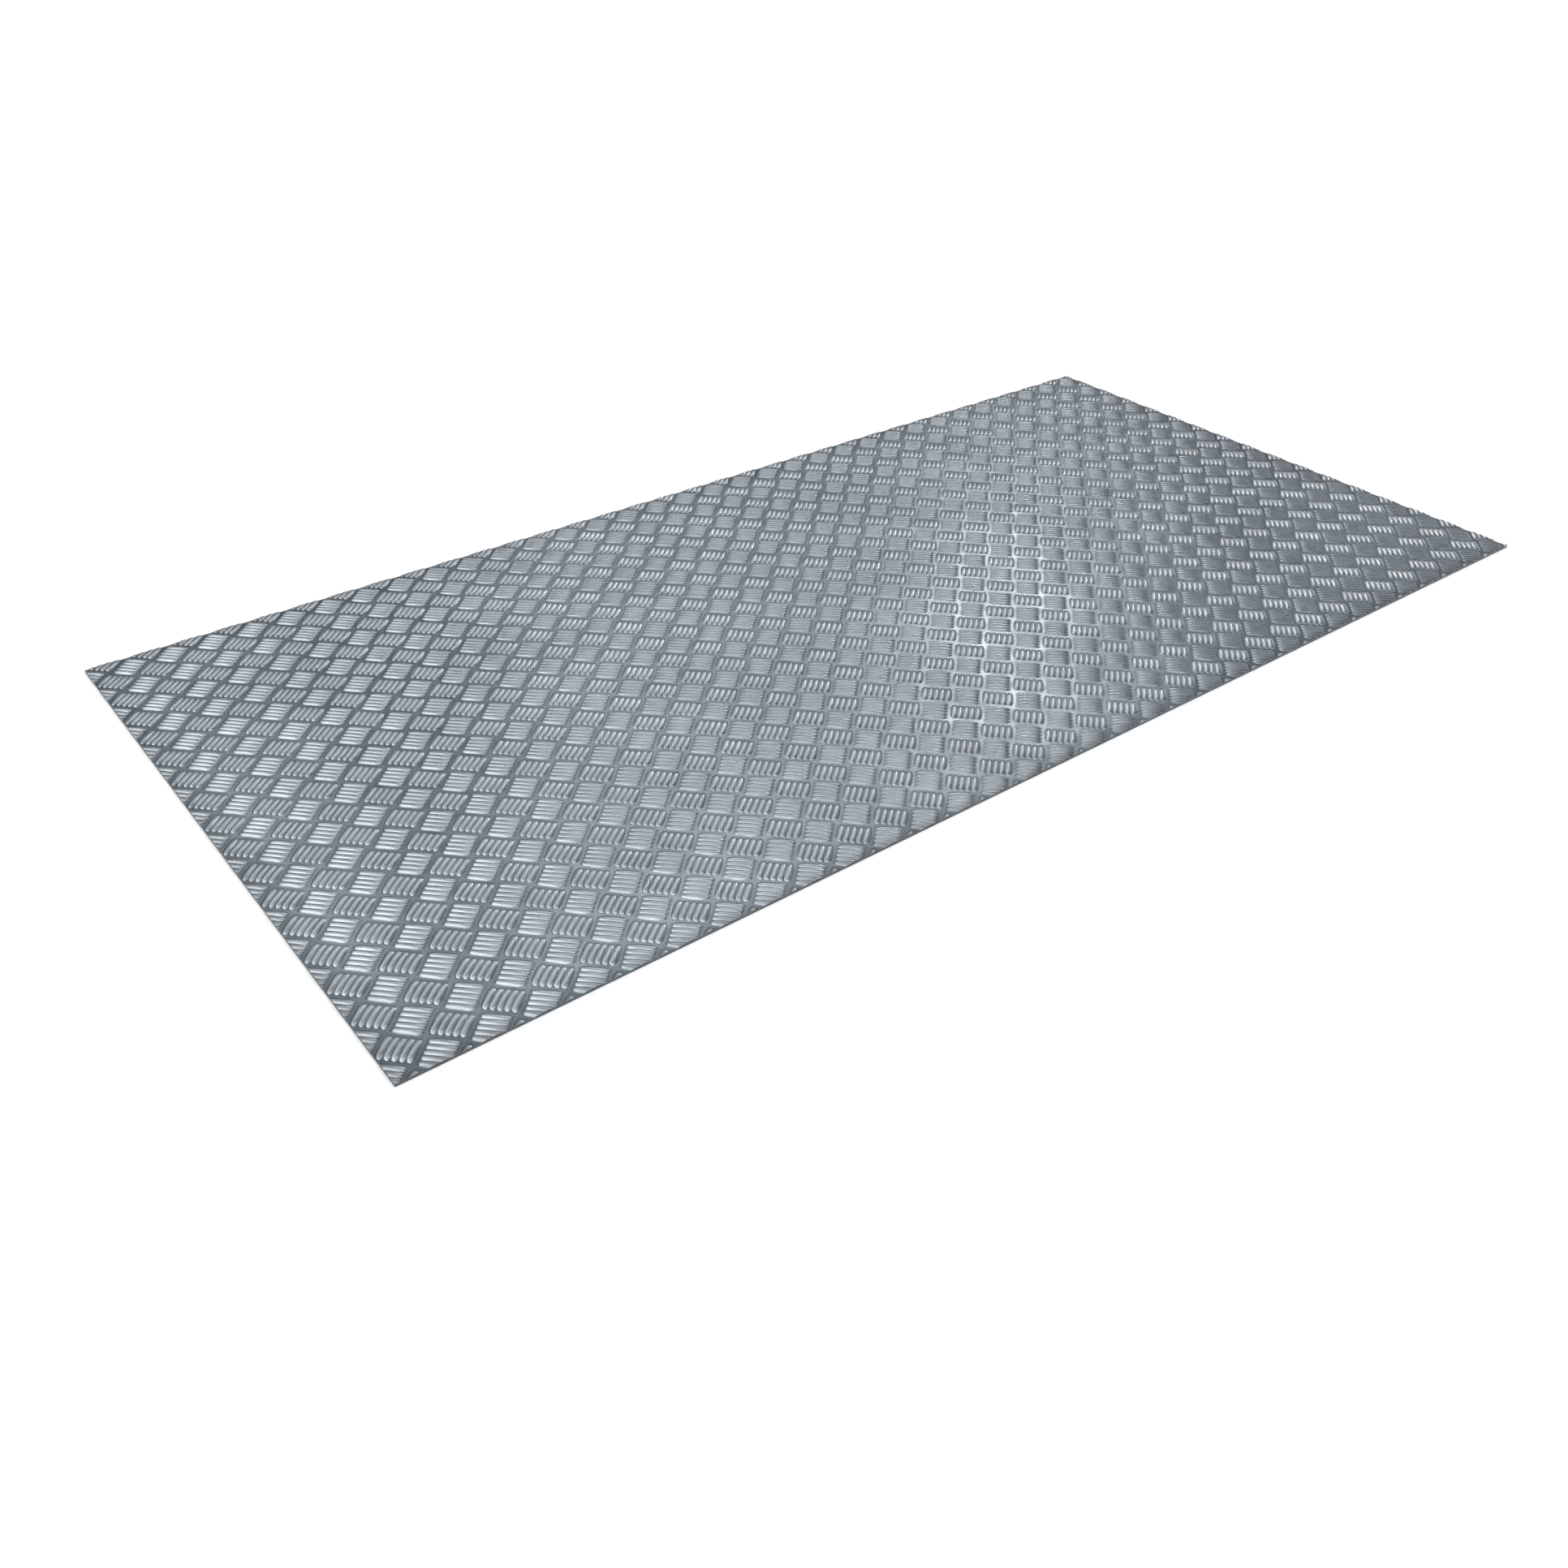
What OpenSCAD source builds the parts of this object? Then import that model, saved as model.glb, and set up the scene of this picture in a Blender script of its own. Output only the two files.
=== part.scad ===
// Checker plate: one hot-rolled steel sheet with a raised five-bar tread on its top face.
// Frame: X along the sheet, Y across it, Z up. The origin is the middle of the underside,
// so the sheet lies on the plane z = 0. This model holds the base sheet, cut square on all
// four sides. The low tread bars that are rolled up out of its top face are surface relief.

/* [Sheet] */
// Length of the sheet, along X
sheet_length = 2000; // [500:50:6000]
// Width of the sheet, along Y
sheet_width = 1000; // [250:50:2000]
// Thickness of the sheet without its tread bars, along Z
base_thickness = 3; // [2:0.5:12]

/* [Finish] */
// Colour of the bare rolled steel
steel_colour = "LightSlateGray"; // [LightSlateGray, SlateGray, DarkGray, Silver]

/* [Hidden] */

// Lowest corner of the sheet, which is centred on X and Y and stands on z = 0
sheet_corner = [-sheet_length / 2, -sheet_width / 2, 0];
sheet_size = [sheet_length, sheet_width, base_thickness];

// The sheet, rolled as one piece, with square sheared edges and no holes
module checker_plate() {
    color(steel_colour)
        translate(sheet_corner)
            cube(sheet_size);
}

checker_plate();
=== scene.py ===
"""Looks of the checker plate: the CAD sheet in rolled steel, with its five-bar tread as geometry.

Units are metres, in the CAD frame: X along the sheet, Y across it, Z up, the underside on z = 0.
The tread is built bar by bar, sheared off at the sheet's edges, and joined into long strips.
"""

import math

import bmesh
import bpy
import numpy as np
from mathutils import Matrix, Vector


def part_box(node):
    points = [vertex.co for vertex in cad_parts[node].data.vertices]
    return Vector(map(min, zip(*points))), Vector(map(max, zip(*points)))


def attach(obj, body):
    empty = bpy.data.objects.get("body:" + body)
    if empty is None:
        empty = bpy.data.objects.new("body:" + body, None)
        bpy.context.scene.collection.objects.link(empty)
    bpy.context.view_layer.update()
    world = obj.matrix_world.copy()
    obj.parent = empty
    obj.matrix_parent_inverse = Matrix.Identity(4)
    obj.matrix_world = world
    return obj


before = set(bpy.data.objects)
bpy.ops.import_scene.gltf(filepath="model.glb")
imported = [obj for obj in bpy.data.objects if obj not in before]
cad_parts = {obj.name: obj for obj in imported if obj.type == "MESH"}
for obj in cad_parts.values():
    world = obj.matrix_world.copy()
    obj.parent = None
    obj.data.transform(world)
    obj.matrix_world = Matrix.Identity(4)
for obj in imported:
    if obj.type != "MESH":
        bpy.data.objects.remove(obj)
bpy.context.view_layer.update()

MM = 0.001
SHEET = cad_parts["checker_plate"]
SHEET_LOW, SHEET_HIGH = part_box("checker_plate")
TOP = SHEET_HIGH.z

# ---------------------------------------------------------------- sizes of the tread
# The groups of bars stand like the squares of a draughtboard turned 45 degrees to the sheet's
# edges. Along an edge the pattern repeats every REPEAT. "Falling" groups have bars along (+X, -Y),
# and "rising" groups have bars along (+X, +Y). GROUP_STEP is from a group to its neighbour.
REPEAT = 60 * MM
GROUP_STEP = REPEAT / math.sqrt(2)
FIRST_FALLING = Vector((SHEET_LOW.x - 5.2 * MM, SHEET_HIGH.y - 27.2 * MM))
BARS_IN_GROUP = 5
BAR_PITCH = 8.05 * MM
BAR_LENGTH = 35 * MM
BAR_WIDTH = 11.2 * MM
BAR_HEIGHT = 1.9 * MM
FOOT_DEPTH = 0.06 * MM  # how far a bar's foot dips below the sheet's top face
EDGE_INSET = 0.02 * MM  # the sheared bars end this much inside the sheet's edges

# Rolled bars aren't all alike. Each bar's height above the grooves changes by up to these shares:
# all over, more towards its ends, and more towards its flanks.
HEIGHT_SPREAD = 0.06
LEAN_ALONG = 0.10
LEAN_ACROSS = 0.13

# How a bar's plan and crown fall away towards its ends, and its section towards its foot. Bars are
# wider than their pitch, so they meet in grooves at GROOVE_LEVEL, a share of a bar's height.
PLAN_POWER, PLAN_ROUND = 5.0, 0.5
CROWN_POWER, CROWN_ROUND = 2.5, 0.6
SECTION_POWER = 2.0
GROOVE_LEVEL = 1 - (BAR_PITCH / BAR_WIDTH) ** SECTION_POWER
LENGTH_STEPS = 10
WIDTH_STEPS = 6

# The bars are joined into strips along the sheet, by where their middles lie
STRIPS = 8
STRIP_WIDTH = (SHEET_HIGH.y - SHEET_LOW.y) / STRIPS
FIRST_SEED = 5000
SHARP_ANGLE = 60  # degrees: the tread's faces are smooth across anything flatter


# ---------------------------------------------------------------- the tread
def bar_points(low_reach, high_reach):
    """Points of one bar about its middle: along and across in metres, and up from 0 to 1.

    The bar falls away to both sides, but ends low_reach and high_reach from its middle, where the
    next bar begins. The first and last points are the tips, and between them lie rings of
    WIDTH_STEPS + 1 points each.
    """
    along = np.sin(np.linspace(-1, 1, LENGTH_STEPS + 1) * math.pi / 2)[1:-1]
    half_width = BAR_WIDTH / 2 * (1 - np.abs(along) ** PLAN_POWER) ** PLAN_ROUND
    crown = (1 - np.abs(along) ** CROWN_POWER) ** CROWN_ROUND
    low = -np.minimum(half_width, low_reach)
    high = np.minimum(half_width, high_reach)
    across = low[:, None] + (high - low)[:, None] * np.linspace(0, 1, WIDTH_STEPS + 1)
    section = 1 - np.abs(across / half_width[:, None]) ** SECTION_POWER
    rings = np.empty((*across.shape, 3))
    rings[..., 0] = along[:, None] * BAR_LENGTH / 2
    rings[..., 1] = across
    rings[..., 2] = crown[:, None] * section
    tip = (BAR_LENGTH / 2, 0, 0)
    return np.vstack([np.negative(tip), rings.reshape(-1, 3), tip])


def bar_faces():
    """Faces of one bar, as indices into its points: the top ones, then the under ones."""
    rings = LENGTH_STEPS - 1
    first_tip, last_tip = 0, 1 + rings * (WIDTH_STEPS + 1)

    def at(ring, step):
        return 1 + ring * (WIDTH_STEPS + 1) + step

    top, under = [], []
    for step in range(WIDTH_STEPS):
        top.append((first_tip, at(0, step + 1), at(0, step)))
        top.append((last_tip, at(rings - 1, step), at(rings - 1, step + 1)))
    for ring in range(rings - 1):
        for step in range(WIDTH_STEPS):
            top.append((at(ring, step), at(ring, step + 1), at(ring + 1, step + 1), at(ring + 1, step)))
        under.append((at(ring, WIDTH_STEPS), at(ring, 0), at(ring + 1, 0), at(ring + 1, WIDTH_STEPS)))
    under.append((first_tip, at(0, 0), at(0, WIDTH_STEPS)))
    under.append((last_tip, at(rings - 1, WIDTH_STEPS), at(rings - 1, 0)))
    return top + under


def group_centres():
    """Centre and bar direction of every group that may reach the sheet."""
    falling = Vector((1, -1)).normalized()
    rising = Vector((1, 1)).normalized()
    half_step = Vector((REPEAT / 2, REPEAT / 2))
    columns = math.ceil((SHEET_HIGH.x - SHEET_LOW.x) / REPEAT) + 2
    rows = math.ceil((SHEET_HIGH.y - SHEET_LOW.y) / REPEAT) + 2
    for row in range(-1, rows):
        for column in range(-1, columns):
            centre = FIRST_FALLING + Vector((column * REPEAT, -row * REPEAT))
            yield centre, falling
            yield centre + half_step, rising


def bar_places():
    """Middles, directions and places in the group of the bars that lie on the sheet at least in part."""
    reach = (BAR_LENGTH + BAR_WIDTH) / 2 * math.cos(math.pi / 4)
    middles, directions, places = [], [], []
    for centre, along in group_centres():
        for bar in range(BARS_IN_GROUP):
            middle = centre + along.orthogonal() * ((bar - (BARS_IN_GROUP - 1) / 2) * BAR_PITCH)
            on_x = SHEET_LOW.x - reach < middle.x < SHEET_HIGH.x + reach
            on_y = SHEET_LOW.y - reach < middle.y < SHEET_HIGH.y + reach
            if on_x and on_y:
                middles.append(middle)
                directions.append(along)
                places.append(bar)
    return np.array(middles), np.array(directions), np.array(places)


def shear_off(mesh):
    """Cuts away what hangs over the sheet's edges, and closes the cuts."""
    shape = bmesh.new()
    shape.from_mesh(mesh)
    for corner, sign in ((SHEET_LOW, -1), (SHEET_HIGH, 1)):
        for axis in (0, 1):
            outward = Vector((0, 0, 0))
            outward[axis] = sign
            cut = bmesh.ops.bisect_plane(
                shape,
                geom=shape.verts[:] + shape.edges[:] + shape.faces[:],
                dist=1e-7,
                plane_co=corner - outward * EDGE_INSET,
                plane_no=outward,
                clear_outer=True,
            )
            rim = [item for item in cut["geom_cut"] if isinstance(item, bmesh.types.BMEdge)]
            if rim:
                bmesh.ops.holes_fill(shape, edges=rim, sides=0)
    shape.to_mesh(mesh)
    shape.free()


# The map for baking a strip: its plan is folded into rows, and its undersides lie beside them, small
MAP_ROWS = 4
MAP_ROW_LENGTH = (SHEET_HIGH.x - SHEET_LOW.x) / MAP_ROWS
MAP_MARGIN = 18 * MM  # more than a bar reaches past its strip
MAP_ROW_HEIGHT = STRIP_WIDTH + 2 * MAP_MARGIN
MAP_SIDE = MAP_ROWS * MAP_ROW_HEIGHT
UNDERSIDE_SHRINK = 4


def values_of(items, name, width=1):
    """One attribute of all items of a mesh: whole numbers, or rows of width decimals."""
    values = np.empty(len(items) * width, np.float32 if width > 1 else np.int32)
    items.foreach_get(name, values)
    return values.reshape(-1, width) if width > 1 else values


def map_for_baking(mesh, strip_low):
    """Lays out the strip's faces without overlaps. strip_low is the strip's lowest y."""
    face_of_corner = np.repeat(np.arange(len(mesh.polygons)), values_of(mesh.polygons, "loop_total"))
    corners = values_of(mesh.vertices, "co", 3)[values_of(mesh.loops, "vertex_index")]
    centres = values_of(mesh.polygons, "center", 3)[face_of_corner]
    under = values_of(mesh.polygons, "normal", 3)[face_of_corner, 2] < -0.5

    along = corners[:, 0] - SHEET_LOW.x
    across = corners[:, 1] - strip_low + MAP_MARGIN
    row = np.clip((centres[:, 0] - SHEET_LOW.x) // MAP_ROW_LENGTH, 0, MAP_ROWS - 1)
    places = np.stack([along - row * MAP_ROW_LENGTH + MAP_MARGIN, across + row * MAP_ROW_HEIGHT], -1)
    beside = MAP_SIDE - MAP_ROW_HEIGHT / UNDERSIDE_SHRINK
    small = np.stack([beside + across / UNDERSIDE_SHRINK, along / UNDERSIDE_SHRINK], -1)
    places[under] = small[under]
    layer = mesh.uv_layers.new(name="OFBake")
    layer.data.foreach_set("uv", (places / MAP_SIDE).astype(np.float32).ravel())


def strip_points(strip_low, middles, directions, places):
    """Points of a strip's bars: an array of bars, their points, and x, y, z."""
    outer, inner = BAR_WIDTH / 2, BAR_PITCH / 2
    shapes = [bar_points(inner, inner)] * BARS_IN_GROUP
    shapes[0] = bar_points(outer, inner)
    shapes[-1] = bar_points(inner, outer)
    points = np.array(shapes)[places]
    along, across, up = points[..., 0], points[..., 1], points[..., 2]
    sideways = np.stack([-directions[:, 1], directions[:, 0]], -1)
    plan = (
        middles[:, None]
        + directions[:, None] * along[..., None]
        + sideways[:, None] * across[..., None]
    )
    rng = np.random.default_rng(FIRST_SEED + round(strip_low / MM))
    per_bar = (len(middles), 1)
    spread = (
        HEIGHT_SPREAD * rng.uniform(-1, 1, per_bar)
        + LEAN_ALONG * rng.uniform(-1, 1, per_bar) * along / (BAR_LENGTH / 2)
        + LEAN_ACROSS * rng.uniform(-1, 1, per_bar) * across / (BAR_WIDTH / 2)
    )
    levels = TOP - FOOT_DEPTH + BAR_HEIGHT * (up + spread * np.maximum(up - GROOVE_LEVEL, 0))
    return np.concatenate([plan, levels[..., None]], -1)


def tread_strip(name, strip_low, middles, directions, places, material):
    """One piece: the tread bars whose middles lie in one strip along the sheet."""
    points = strip_points(strip_low, middles, directions, places)
    bar_count, points_in_bar = points.shape[:2]
    one_bar = bar_faces()
    faces = []
    for first in range(0, bar_count * points_in_bar, points_in_bar):
        faces += [tuple(first + corner for corner in face) for face in one_bar]

    mesh = bpy.data.meshes.new(name)
    mesh.from_pydata(points.reshape(-1, 3).tolist(), [], faces)
    shear_off(mesh)
    mesh.materials.append(material)
    mesh.shade_smooth()
    mesh.set_sharp_from_angle(angle=math.radians(SHARP_ANGLE))
    map_for_baking(mesh, strip_low)
    piece = bpy.data.objects.new(name, mesh)
    bpy.context.scene.collection.objects.link(piece)
    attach(piece, "root")


# ---------------------------------------------------------------- shader helpers
def feed(tree, socket, value):
    """Gives a socket a constant, or the output that it reads."""
    if isinstance(value, bpy.types.NodeSocket):
        tree.links.new(value, socket)
    else:
        socket.default_value = value


def node(tree, kind, inputs=None, **settings):
    made = tree.nodes.new(kind)
    for name, value in settings.items():
        setattr(made, name, value)
    for name, value in (inputs or {}).items():
        feed(tree, made.inputs[name], value)
    return made


def calculate(tree, operation, *values):
    return node(tree, "ShaderNodeMath", dict(enumerate(values)), operation=operation).outputs[0]


def remap(tree, value, low, high, to_low=0.0, to_high=1.0):
    """Eases value from its range low..high to the range to_low..to_high."""
    inputs = {"Value": value, "From Min": low, "From Max": high, "To Min": to_low, "To Max": to_high}
    return node(tree, "ShaderNodeMapRange", inputs, interpolation_type="SMOOTHSTEP").outputs["Result"]


def noise(tree, place, per_metre, detail=3, roughness=0.6, squeeze=(1, 1, 1)):
    """Noise around 0.5, squeezed along each axis by squeeze."""
    squeezed = node(tree, "ShaderNodeVectorMath", {0: place, 1: squeeze}, operation="MULTIPLY")
    inputs = {
        "Vector": squeezed.outputs[0],
        "Scale": per_metre,
        "Detail": detail,
        "Roughness": roughness,
    }
    return node(tree, "ShaderNodeTexNoise", inputs).outputs[0]


def swing(tree, noise_output, amount):
    """Turns noise into a smooth swing between -amount and amount."""
    return remap(tree, noise_output, 0.3, 0.7, -amount, amount)


def blend(tree, factor, first, second, kind="Color"):
    """Mixes two colours, or two numbers where kind is Float."""
    mixer = node(tree, "ShaderNodeMix", data_type={"Color": "RGBA", "Float": "FLOAT"}[kind])
    sockets = {item.identifier: item for item in mixer.inputs}
    for name, value in (("Factor_Float", factor), (f"A_{kind}", first), (f"B_{kind}", second)):
        feed(tree, sockets[name], value)
    return next(item for item in mixer.outputs if item.identifier == f"Result_{kind}")


def start_material(name):
    material = bpy.data.materials.new(name)
    material.use_nodes = True
    return material, material.node_tree, material.node_tree.nodes["Principled BSDF"]


# ---------------------------------------------------------------- steel
CHANNEL_COLOUR = (0.226, 0.266, 0.294, 1)
CROWN_COLOUR = (0.378, 0.414, 0.441, 1)
CHANNEL_ROUGHNESS = 0.27
CROWN_ROUGHNESS = 0.29
ROUGHNESS_SWING = 0.04
WAVE_HEIGHT = 2.0 * MM
GRAIN_HEIGHT = 0.018 * MM

# Bars are fully worn above WORN_HEIGHT, give or take WEAR_SWING
WORN_HEIGHT = 0.45 * BAR_HEIGHT
WEAR_SWING = 0.15 * BAR_HEIGHT

# Shades are factors on the colour: beside the bars' feet, where grime and painted shade darken the
# channels, and on the sheet's edges, from where they rise to 1 over the width of the border
FOOT_SHADE = 0.8
CHANNEL_BORDER, CHANNEL_BORDER_SHADE = 60 * MM, 0.62
BAR_BORDER, BAR_BORDER_SHADE = 16 * MM, 0.7

# A sheared edge has a smooth band where the blade went in, and a rough torn zone below it
SMOOTH_ABOVE = 0.7 * TOP
TORN_BELOW = 0.55 * TOP
TORN_SWING = 0.2 * TOP
TORN_SHADE = 0.8
TORN_ROUGHNESS = 0.6


def rolling_marks(tree, place):
    """A factor around 1 on the colour, from the rolls: blotches, mottle and long streaks."""
    blotches = swing(tree, noise(tree, place, 5), 0.07)
    mottle = swing(tree, noise(tree, place, 60), 0.05)
    streaks = swing(tree, noise(tree, place, 2, squeeze=(1, 60, 1)), 0.04)
    marks = calculate(tree, "ADD", 1.0, blotches)
    marks = calculate(tree, "ADD", marks, mottle)
    return calculate(tree, "ADD", marks, streaks)


def border_shading(tree, axes, width, shade):
    """A factor on the colour: shade on the sheet's edges, rising to 1 at width from them."""
    from_end = calculate(tree, "SUBTRACT", SHEET_HIGH.x, calculate(tree, "ABSOLUTE", axes.outputs["X"]))
    from_side = calculate(tree, "SUBTRACT", SHEET_HIGH.y, calculate(tree, "ABSOLUTE", axes.outputs["Y"]))
    return remap(tree, calculate(tree, "MINIMUM", from_end, from_side), 0.0, width, shade, 1.0)


def closeness_to_bars(tree, axes):
    """1 along the bars' feet, falling to 0 in the middle of a channel."""
    east = calculate(tree, "SUBTRACT", axes.outputs["X"], FIRST_FALLING.x)
    north = calculate(tree, "SUBTRACT", axes.outputs["Y"], FIRST_FALLING.y)
    from_centre = []
    for operation in ("ADD", "SUBTRACT"):
        diagonal = calculate(tree, operation, east, north)
        diagonal = calculate(tree, "MULTIPLY", diagonal, math.sqrt(0.5))
        from_centre.append(calculate(tree, "PINGPONG", diagonal, GROUP_STEP / 2))
    reach = calculate(tree, "MAXIMUM", *from_centre)
    return remap(tree, reach, BAR_LENGTH / 2, GROUP_STEP / 2, 1.0, 0.0)


def finish_steel(tree, shader, place, colour, shade, rough):
    """Metal of that colour times shade, faintly wavy from rolling and faintly grained."""
    shaded = node(tree, "ShaderNodeVectorMath", {0: colour, "Scale": shade}, operation="SCALE")
    feed(tree, shader.inputs["Base Color"], shaded.outputs[0])
    feed(tree, shader.inputs["Metallic"], 1.0)
    mottle = swing(tree, noise(tree, place, 35, detail=2), ROUGHNESS_SWING)
    feed(tree, shader.inputs["Roughness"], calculate(tree, "ADD", rough, mottle))
    waves = {"Height": noise(tree, place, 9, detail=2, roughness=0.5), "Distance": WAVE_HEIGHT}
    wavy = node(tree, "ShaderNodeBump", waves).outputs[0]
    grain = {"Height": noise(tree, place, 700, detail=2), "Distance": GRAIN_HEIGHT, "Normal": wavy}
    feed(tree, shader.inputs["Normal"], node(tree, "ShaderNodeBump", grain).outputs[0])


def sheet_steel():
    """The flat sheet: its channels between the bars, its sheared edges and its underside."""
    material, tree, shader = start_material("sheet_steel")
    place = node(tree, "ShaderNodeTexCoord").outputs["Object"]
    axes = node(tree, "ShaderNodeSeparateXYZ", {0: place})
    normal = node(tree, "ShaderNodeNewGeometry").outputs["Normal"]
    upwards = node(tree, "ShaderNodeSeparateXYZ", {0: normal}).outputs["Z"]

    # Grime and painted shade darken the channels beside the bars' feet
    on_top = remap(tree, upwards, 0.4, 0.6)
    grime_and_painted_shade = calculate(tree, "MULTIPLY", closeness_to_bars(tree, axes), on_top)
    shade = remap(tree, grime_and_painted_shade, 0.0, 1.0, 1.0, FOOT_SHADE)
    shade = calculate(tree, "MULTIPLY", rolling_marks(tree, place), shade)
    border = border_shading(tree, axes, CHANNEL_BORDER, CHANNEL_BORDER_SHADE)
    shade = calculate(tree, "MULTIPLY", shade, border)

    on_side = remap(tree, calculate(tree, "ABSOLUTE", upwards), 0.3, 0.5, 1.0, 0.0)
    ragged = swing(tree, noise(tree, place, 90), TORN_SWING)
    level = calculate(tree, "ADD", axes.outputs["Z"], ragged)
    torn = calculate(tree, "MULTIPLY", on_side, remap(tree, level, TORN_BELOW, SMOOTH_ABOVE, 1.0, 0.0))
    shade = calculate(tree, "MULTIPLY", shade, remap(tree, torn, 0.0, 1.0, 1.0, TORN_SHADE))
    rough = blend(tree, torn, CHANNEL_ROUGHNESS, TORN_ROUGHNESS, "Float")
    finish_steel(tree, shader, place, CHANNEL_COLOUR[:3], shade, rough)
    return material


def tread_steel():
    """The bars: like the sheet at their feet, and worn bright on their crowns."""
    material, tree, shader = start_material("tread_steel")
    place = node(tree, "ShaderNodeTexCoord").outputs["Object"]
    axes = node(tree, "ShaderNodeSeparateXYZ", {0: place})
    wear = swing(tree, noise(tree, place, 25), WEAR_SWING)
    height = calculate(tree, "SUBTRACT", axes.outputs["Z"], TOP)
    worn = remap(tree, calculate(tree, "ADD", height, wear), 0.0, WORN_HEIGHT)
    colour = blend(tree, worn, CHANNEL_COLOUR, CROWN_COLOUR)
    border = border_shading(tree, axes, BAR_BORDER, BAR_BORDER_SHADE)
    shade = calculate(tree, "MULTIPLY", rolling_marks(tree, place), border)
    rough = blend(tree, worn, CHANNEL_ROUGHNESS, CROWN_ROUGHNESS, "Float")
    finish_steel(tree, shader, place, colour, shade, rough)
    return material


for slot in SHEET.material_slots:
    slot.material = sheet_steel()
bar_steel = tread_steel()
bar_middles, bar_directions, bar_in_group = bar_places()
strip_of_bar = np.clip((bar_middles[:, 1] - SHEET_LOW.y) // STRIP_WIDTH, 0, STRIPS - 1)
for strip in range(STRIPS):
    inside = strip_of_bar == strip
    tread_strip(
        f"tread_bars_{strip + 1}",
        SHEET_LOW.y + strip * STRIP_WIDTH,
        bar_middles[inside],
        bar_directions[inside],
        bar_in_group[inside],
        bar_steel,
    )

# ---------------------------------------------------------------- camera
CAMERA_AT = Vector((-1.330, -1.549, 1.093))
CAMERA_AZIMUTH, CAMERA_ELEVATION = 52.2, -35.06  # where it looks; azimuth from +X towards +Y
CAMERA_ROLL = 0.41
CAMERA_LENS = 34.2


def towards(azimuth, elevation):
    """Unit vector at an azimuth from +X towards +Y and an elevation above the floor, in degrees."""
    azimuth, elevation = math.radians(azimuth), math.radians(elevation)
    level = math.cos(elevation)
    return Vector((level * math.cos(azimuth), level * math.sin(azimuth), math.sin(elevation)))


def place_camera():
    data = bpy.data.cameras.new("camera")
    data.lens = CAMERA_LENS
    camera = bpy.data.objects.new("camera", data)
    aim = towards(CAMERA_AZIMUTH, CAMERA_ELEVATION).to_track_quat("-Z", "Y").to_matrix().to_4x4()
    roll = Matrix.Rotation(math.radians(CAMERA_ROLL), 4, "Z")
    camera.matrix_world = Matrix.Translation(CAMERA_AT) @ aim @ roll
    bpy.context.scene.collection.objects.link(camera)
    bpy.context.scene.camera = camera


place_camera()

# ---------------------------------------------------------------- floor and light
FLOOR_HALF = 40
FLOOR_COLOUR = (0.93, 0.93, 0.93, 1)
FLOOR_ROUGHNESS = 0.9
LAMP_COLOUR = (1, 0.977, 0.957)
SOFTBOX_DISTANCE = 12
FILL_ANGLE = 60  # degrees across

# The backdrop stands low in the sky. It fades out between two sines of the elevation, and sideways
# between two cosines of the angle from its middle.
SKY_RADIANCE = (0.210, 0.234, 0.257, 1)
BACKDROP_RADIANCE = (0.70, 0.72, 0.74, 1)
BACKDROP_AZIMUTH = 230
BACKDROP_TOP = (0.25, 0.45)
BACKDROP_SIDES = (-0.75, -0.2)


def lay_floor():
    mesh = bpy.data.meshes.new("floor")
    half = FLOOR_HALF
    corners = [(-half, -half, 0), (half, -half, 0), (half, half, 0), (-half, half, 0)]
    mesh.from_pydata(corners, [], [(0, 1, 2, 3)])
    material, _, shader = start_material("pale_floor")
    shader.inputs["Base Color"].default_value = FLOOR_COLOUR
    shader.inputs["Roughness"].default_value = FLOOR_ROUGHNESS
    mesh.materials.append(material)
    floor = bpy.data.objects.new("floor", mesh)
    bpy.context.scene.collection.objects.link(floor)


def softbox(name, azimuth, elevation, width, height, radiance):
    """A far glowing rectangle that faces the sheet's middle, of a width and height in degrees."""
    data = bpy.data.lights.new(name, "AREA")
    data.shape = "RECTANGLE"
    data.color = LAMP_COLOUR
    data.size = 2 * SOFTBOX_DISTANCE * math.tan(math.radians(width / 2))
    data.size_y = 2 * SOFTBOX_DISTANCE * math.tan(math.radians(height / 2))
    data.energy = radiance * math.pi * data.size * data.size_y
    light = bpy.data.objects.new(name, data)
    way = towards(azimuth, elevation)
    facing = way.to_track_quat("Z", "Y").to_matrix().to_4x4()
    light.matrix_world = Matrix.Translation(way * SOFTBOX_DISTANCE) @ facing
    bpy.context.scene.collection.objects.link(light)


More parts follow.
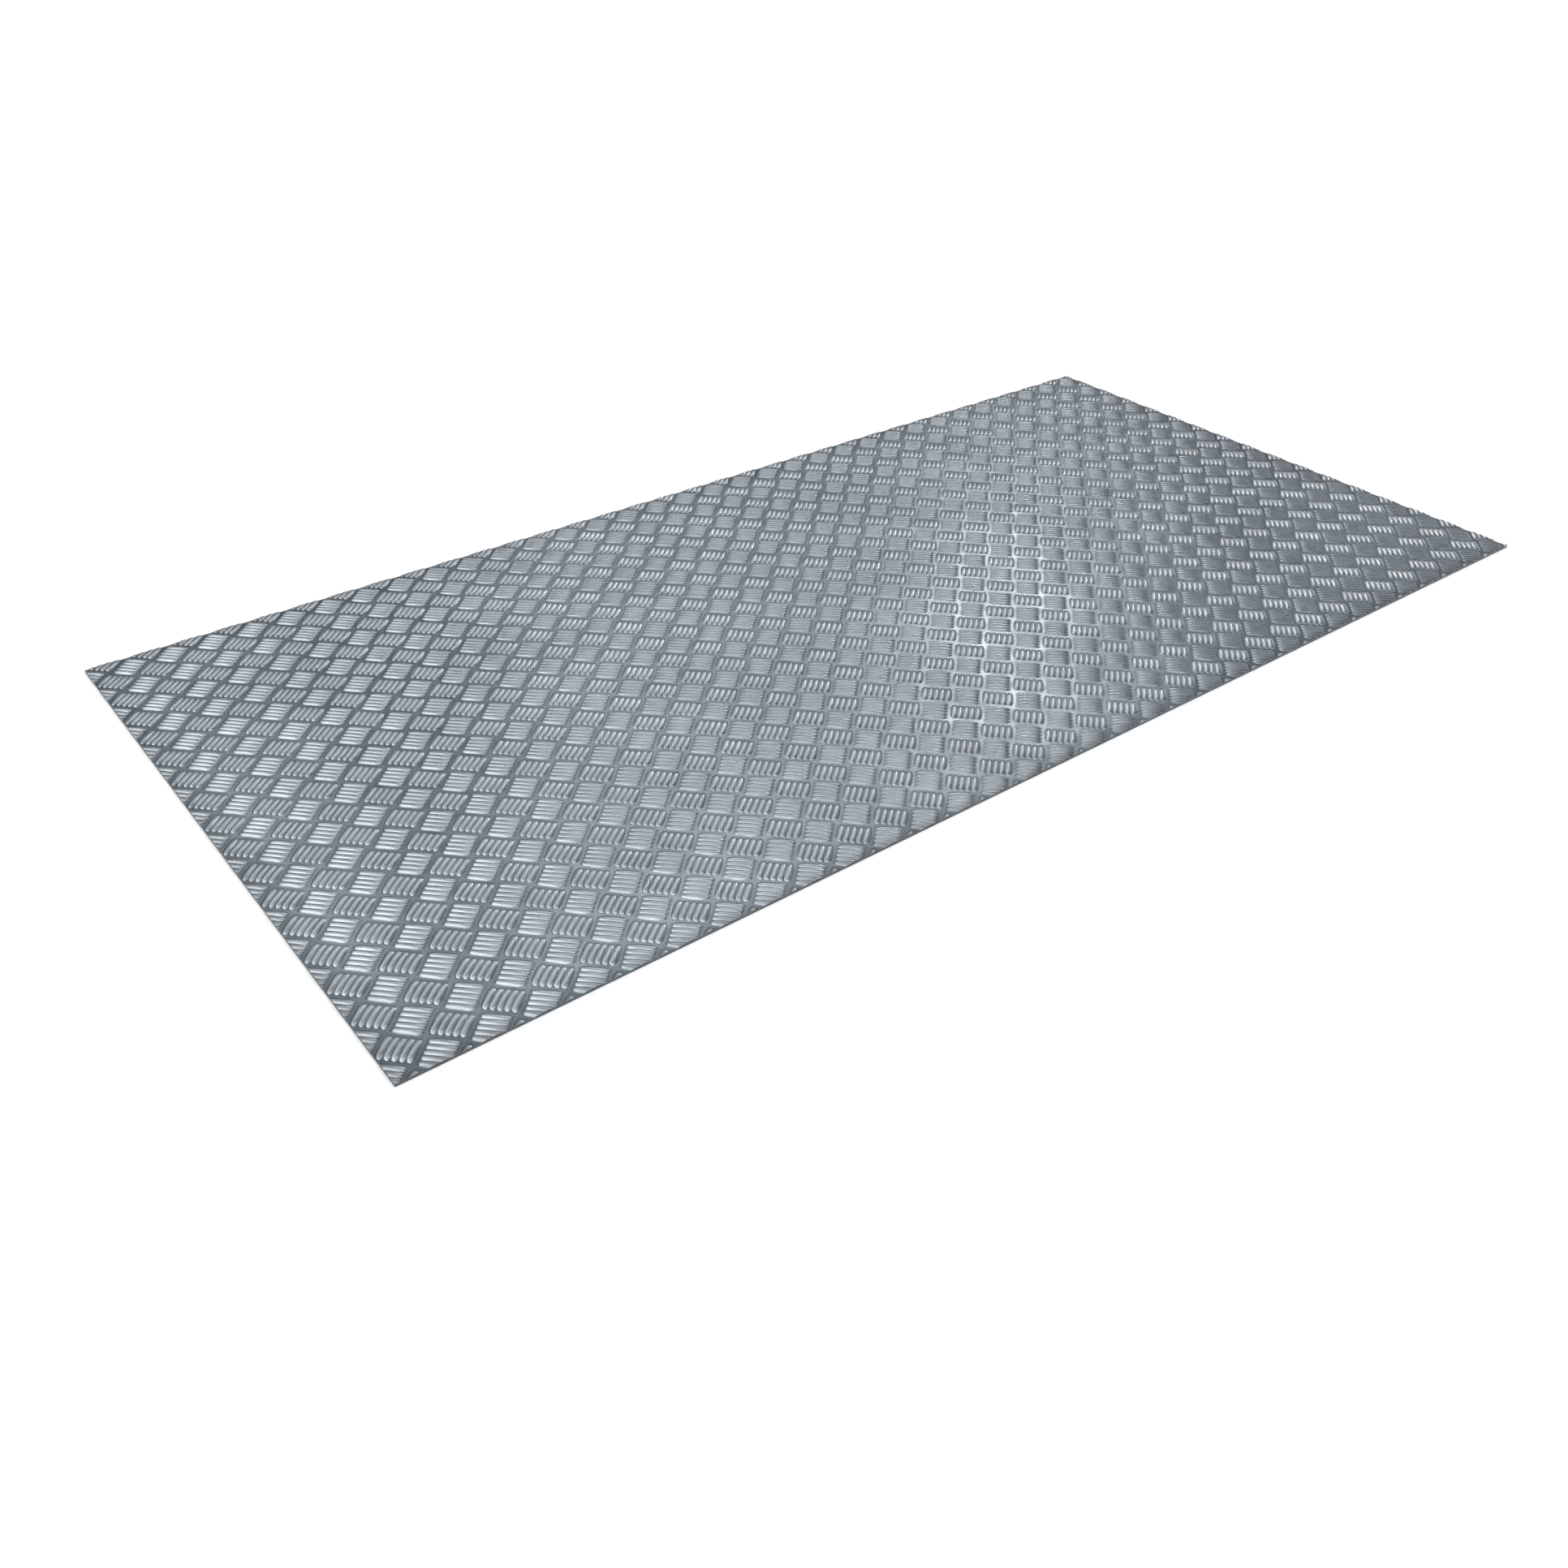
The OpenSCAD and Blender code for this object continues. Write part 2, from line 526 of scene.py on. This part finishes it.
def soft_fill(azimuth, elevation, irradiance):
    """A broad light from very far away. The irradiance is that of a surface which faces it."""
    data = bpy.data.lights.new("fill", "SUN")
    data.color = LAMP_COLOUR
    data.angle = math.radians(FILL_ANGLE)
    data.energy = irradiance
    light = bpy.data.objects.new("fill", data)
    light.matrix_world = towards(azimuth, elevation).to_track_quat("Z", "Y").to_matrix().to_4x4()
    bpy.context.scene.collection.objects.link(light)


def light_sky():
    """An even grey-blue sky, with a paler backdrop behind the camera and to its sides."""
    world = bpy.data.worlds.new("studio")
    world.use_nodes = True
    tree = world.node_tree
    way = node(tree, "ShaderNodeTexCoord").outputs["Generated"]
    height = node(tree, "ShaderNodeSeparateXYZ", {0: way}).outputs["Z"]
    ways = {0: way, 1: towards(BACKDROP_AZIMUTH, 0)}
    nearness = node(tree, "ShaderNodeVectorMath", ways, operation="DOT_PRODUCT").outputs["Value"]
    low = remap(tree, height, *BACKDROP_TOP, 1.0, 0.0)
    backdrop = calculate(tree, "MULTIPLY", low, remap(tree, nearness, *BACKDROP_SIDES))
    radiance = blend(tree, backdrop, SKY_RADIANCE, BACKDROP_RADIANCE)
    feed(tree, tree.nodes["Background"].inputs["Color"], radiance)
    bpy.context.scene.world = world


lay_floor()
light_sky()
bpy.context.scene.view_settings.view_transform = "Standard"
soft_fill(290, 50, 1.4)
# Name, azimuth, elevation, width, height, radiance
softbox("left_high", 120, 60, 24, 24, 2.7)
softbox("left_low", 92, 40, 24, 12, 1.7)
softbox("overhead_left", 180, 70, 26, 22, 1.4)
softbox("overhead_near", 225, 72, 26, 22, 4.0)
softbox("overhead_far", 50, 76, 24, 18, 1.4)
softbox("far_high", 72, 52, 14, 12, 0.5)
softbox("far_middle", 58, 43, 16, 12, 2.0)
softbox("far_low", 50, 30, 30, 10, 1.0)
softbox("far_left", 75, 20, 26, 12, 0.3)
softbox("far_bright", 42, 28.5, 5.5, 6.5, 6.8)
softbox("far_bright_above", 38, 35, 8, 7, 1.9)
softbox("right_middle", 24, 25, 10, 12, 0.5)
softbox("right", 0, 32, 16, 16, 0.35)
softbox("right_side", 340, 30, 20, 20, 1.8)
softbox("right_horizon", 15, 7, 30, 8, 1.3)
